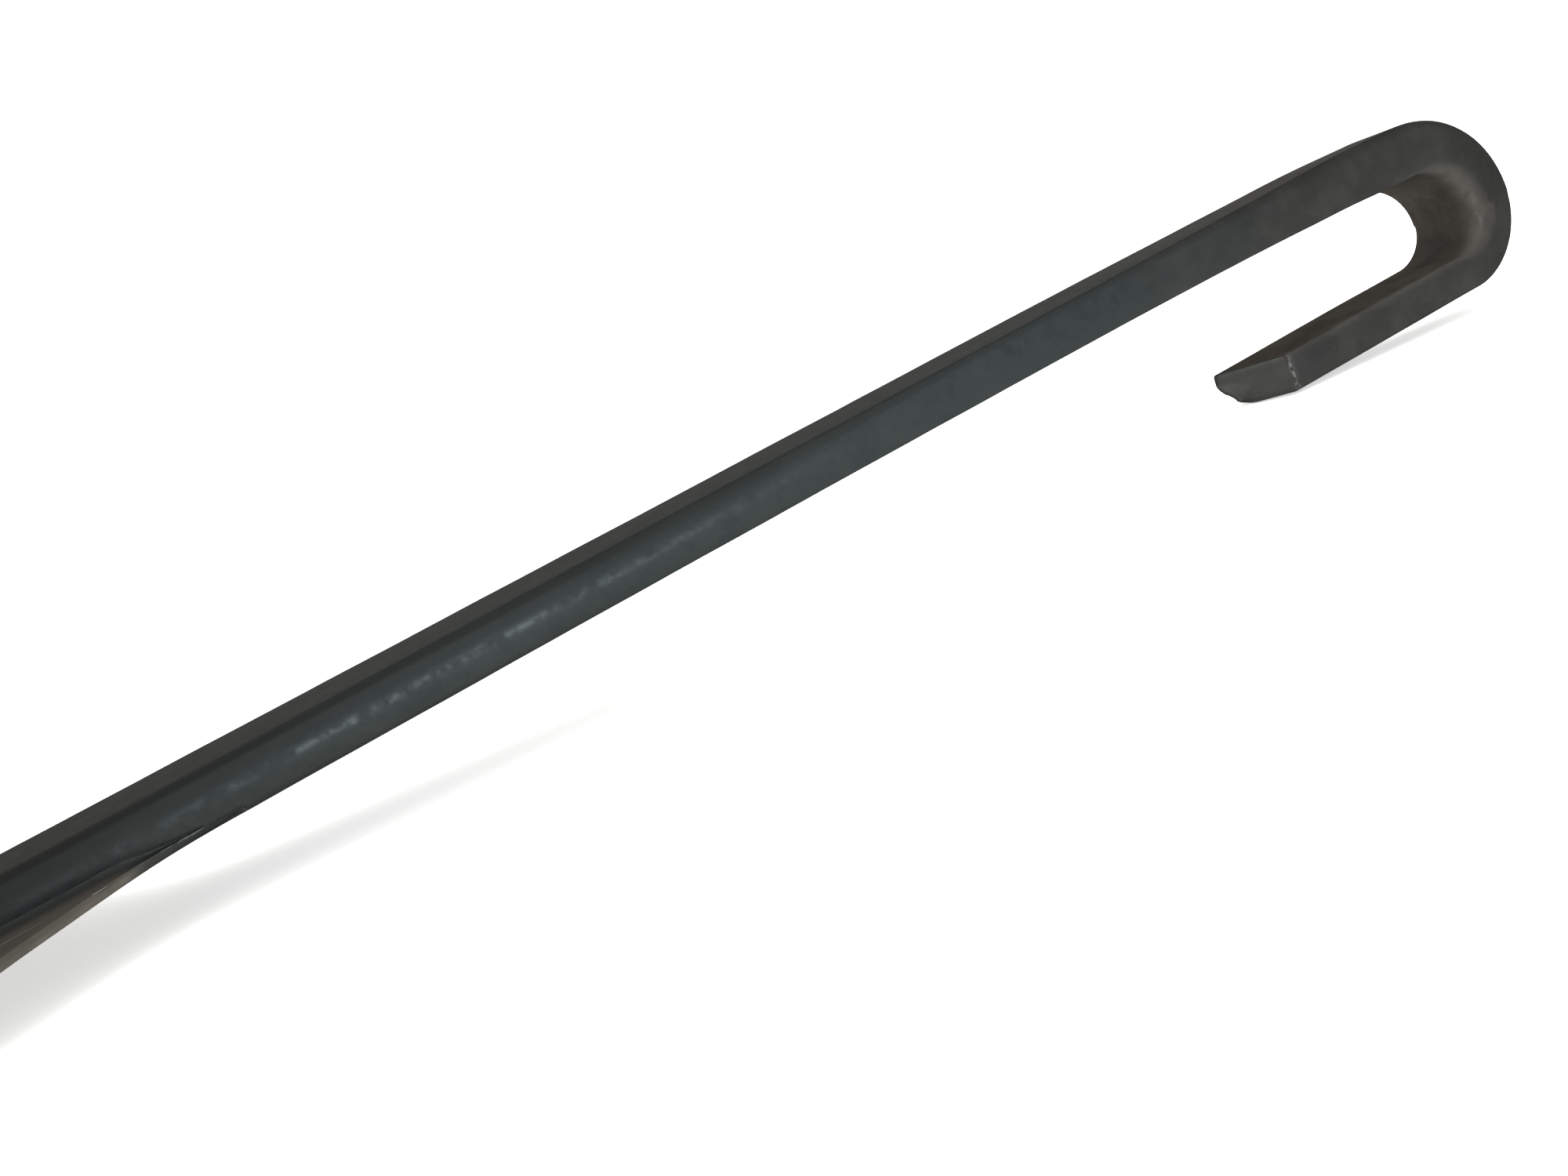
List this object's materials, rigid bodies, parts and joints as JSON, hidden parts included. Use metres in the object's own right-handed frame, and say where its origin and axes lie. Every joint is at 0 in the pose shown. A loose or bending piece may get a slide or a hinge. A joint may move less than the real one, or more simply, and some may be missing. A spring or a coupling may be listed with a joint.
{
  "type": "hive tool",
  "caption": "Flat steel hive tool: a wide scraper blade at one end, a bar with rounded sides, and a J-shaped lifting hook at the other end.",
  "frame": {"origin": "the middle of the length and width, at the underside of the hook's leg", "axes": "+X along the bar towards the hook, +Z out of the bar's flat top face, +Y across the bar to the side away from the viewer"},
  "size_m": [0.254, 0.05, 0.0243],
  "materials": {
    "bar_steel": "dark blackened steel, satin, with mottled oxide and worn edges",
    "blade_steel": "dark blackened steel, satin, brighter along the ground edge",
    "weld_metal": "dark blackened weld bead, slightly rough"
  },
  "bodies": {
    "root": {"hook_bar": "bar_steel", "blade": "blade_steel", "weld_left": "weld_metal", "weld_right": "weld_metal", "weld_toe": "weld_metal"}
  },
  "joints": []
}
